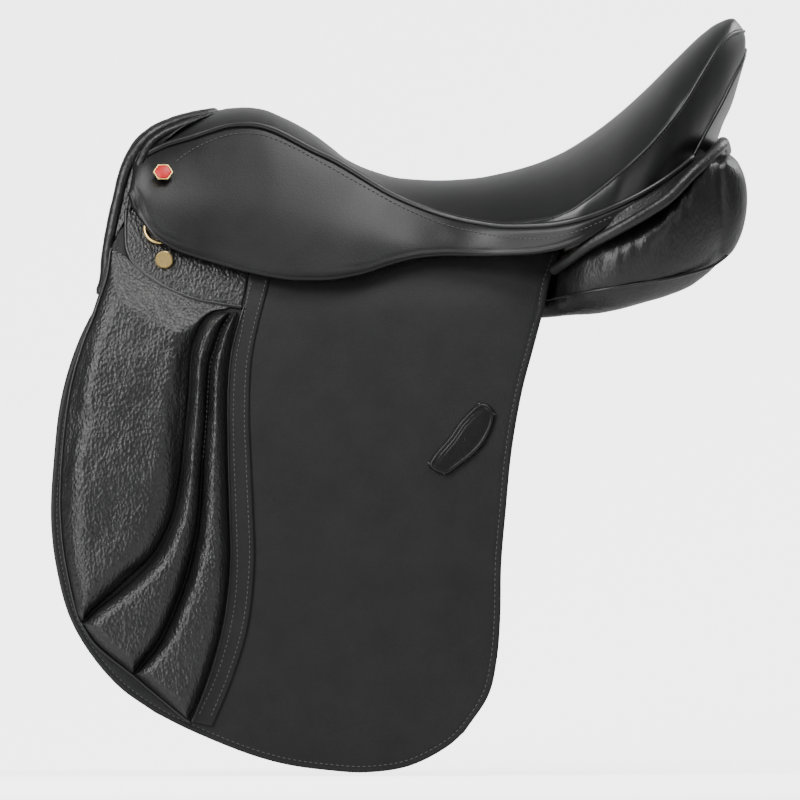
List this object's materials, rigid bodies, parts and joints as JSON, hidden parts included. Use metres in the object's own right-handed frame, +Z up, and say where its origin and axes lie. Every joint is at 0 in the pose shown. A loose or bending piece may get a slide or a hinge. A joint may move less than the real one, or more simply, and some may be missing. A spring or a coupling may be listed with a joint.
{
  "type": "english saddle",
  "caption": "English dressage saddle with deep seat, long straight flaps with knee rolls, lifting skirts over stirrup bars, girth straps and flocked panels.",
  "frame": {"origin": "deepest point of the seat, on the centre plane", "axes": "+X from pommel to cantle, +Y towards the rider's right, +Z up"},
  "size_m": [0.5203, 0.3674, 0.5595],
  "materials": {
    "beech": "laminated beech, varnished",
    "tree_steel": "spring steel, oiled",
    "forged_steel": "forged, polished",
    "canvas": "woven cotton web",
    "foam": "closed-cell foam",
    "brass": "polished",
    "enamel": "red enamel on a gilt rim",
    "grained_calf": "soft black calf, pebbled grain",
    "bridle_leather": "black bridle leather",
    "smooth_leather": "black smooth leather, semi-matt"
  },
  "bodies": {
    "saddle": {"arch_roll": "grained_calf", "badges": "enamel", "cantle_facing": "smooth_leather", "catch_pins": "forged_steel", "cover_nails": "brass", "dee_staples": "brass", "gullet_lining": "grained_calf", "left_flap_head": "smooth_leather", "left_girth_webs": "canvas", "left_panel": "grained_calf", "left_panel_roll": "grained_calf", "left_point_cover": "grained_calf", "left_seat_side": "smooth_leather", "left_seat_welt": "smooth_leather", "left_skirt_top": "smooth_leather", "left_stirrup_bar": "forged_steel", "pommel_roll": "grained_calf", "right_flap_head": "smooth_leather", "right_girth_webs": "canvas", "right_panel": "grained_calf", "right_panel_roll": "grained_calf", "right_point_cover": "grained_calf", "right_seat_side": "smooth_leather", "right_seat_welt": "smooth_leather", "right_skirt_top": "smooth_leather", "right_stirrup_bar": "forged_steel", "seat_cover": "smooth_leather", "seat_foam": "foam", "seat_webbing": "canvas", "steel_gullet_plate": "tree_steel", "steel_head_plate": "tree_steel", "tree_springs": "tree_steel", "wooden_tree": "beech"},
    "left_flap_unit": {"left_flap": "smooth_leather", "left_knee_pad": "grained_calf", "left_front_roll": "grained_calf", "left_rear_roll": "grained_calf", "left_flap_strip": "smooth_leather", "left_keeper": "smooth_leather"},
    "left_skirt_lobe": {"left_skirt": "smooth_leather"},
    "left_front_billet": {"left_front_strap": "bridle_leather"},
    "left_rear_billet": {"left_rear_strap": "bridle_leather"},
    "left_dee_ring": {"left_dee": "brass"},
    "left_catch": {"left_bar_catch": "forged_steel"},
    "left_under_flap": {"left_sweat_flap": "smooth_leather"},
    "right_flap_unit": {"right_flap": "smooth_leather", "right_knee_pad": "grained_calf", "right_front_roll": "grained_calf", "right_rear_roll": "grained_calf", "right_flap_strip": "smooth_leather", "right_keeper": "smooth_leather"},
    "right_skirt_lobe": {"right_skirt": "smooth_leather"},
    "right_front_billet": {"right_front_strap": "bridle_leather"},
    "right_rear_billet": {"right_rear_strap": "bridle_leather"},
    "right_dee_ring": {"right_dee": "brass"},
    "right_catch": {"right_bar_catch": "forged_steel"},
    "right_under_flap": {"right_sweat_flap": "smooth_leather"}
  },
  "joints": [
    {"name": "left_flap_lift", "type": "hinge", "parent": "saddle", "child": "left_flap_unit", "pos_m": [-0.09, -0.1185, -0.0954], "axis": [-1, 0, 0], "range_deg": [0, 70]},
    {"name": "left_skirt_lift", "type": "hinge", "parent": "saddle", "child": "left_skirt_lobe", "pos_m": [-0.2257, -0.09235, -0.0082], "axis": [-0.9791, 0.0854, 0.1844], "range_deg": [0, 50]},
    {"name": "left_front_strap_swing", "type": "hinge", "parent": "saddle", "child": "left_front_billet", "pos_m": [-0.088, -0.107, -0.084], "axis": [0, 1, 0], "range_deg": [-8, 8]},
    {"name": "left_rear_strap_swing", "type": "hinge", "parent": "saddle", "child": "left_rear_billet", "pos_m": [-0.004, -0.107, -0.084], "axis": [0, 1, 0], "range_deg": [-8, 8]},
    {"name": "left_dee_swing", "type": "hinge", "parent": "saddle", "child": "left_dee_ring", "pos_m": [-0.205, -0.0967, -0.0324], "axis": [-1, 0, 0], "range_deg": [0, 10]},
    {"name": "left_catch_lift", "type": "hinge", "parent": "saddle", "child": "left_catch", "pos_m": [-0.0585, -0.1045, -0.054], "axis": [0, -1, 0], "range_deg": [0, 32]},
    {"name": "left_sweat_flap_swing", "type": "hinge", "parent": "saddle", "child": "left_under_flap", "pos_m": [-0.09, -0.0985, -0.098], "axis": [1, 0, 0], "range_deg": [0, 8]},
    {"name": "right_flap_lift", "type": "hinge", "parent": "saddle", "child": "right_flap_unit", "pos_m": [-0.09, 0.1185, -0.0954], "axis": [1, 0, 0], "range_deg": [0, 70]},
    {"name": "right_skirt_lift", "type": "hinge", "parent": "saddle", "child": "right_skirt_lobe", "pos_m": [-0.2257, 0.09235, -0.0082], "axis": [0.9791, 0.0854, -0.1844], "range_deg": [0, 50]},
    {"name": "right_front_strap_swing", "type": "hinge", "parent": "saddle", "child": "right_front_billet", "pos_m": [-0.088, 0.107, -0.084], "axis": [0, 1, 0], "range_deg": [-8, 8]},
    {"name": "right_rear_strap_swing", "type": "hinge", "parent": "saddle", "child": "right_rear_billet", "pos_m": [-0.004, 0.107, -0.084], "axis": [0, 1, 0], "range_deg": [-8, 8]},
    {"name": "right_dee_swing", "type": "hinge", "parent": "saddle", "child": "right_dee_ring", "pos_m": [-0.205, 0.0967, -0.0324], "axis": [1, 0, 0], "range_deg": [0, 10]},
    {"name": "right_catch_lift", "type": "hinge", "parent": "saddle", "child": "right_catch", "pos_m": [-0.0585, 0.1045, -0.054], "axis": [0, -1, 0], "range_deg": [0, 32]},
    {"name": "right_sweat_flap_swing", "type": "hinge", "parent": "saddle", "child": "right_under_flap", "pos_m": [-0.09, 0.0985, -0.098], "axis": [-1, 0, 0], "range_deg": [0, 8]}
  ]
}
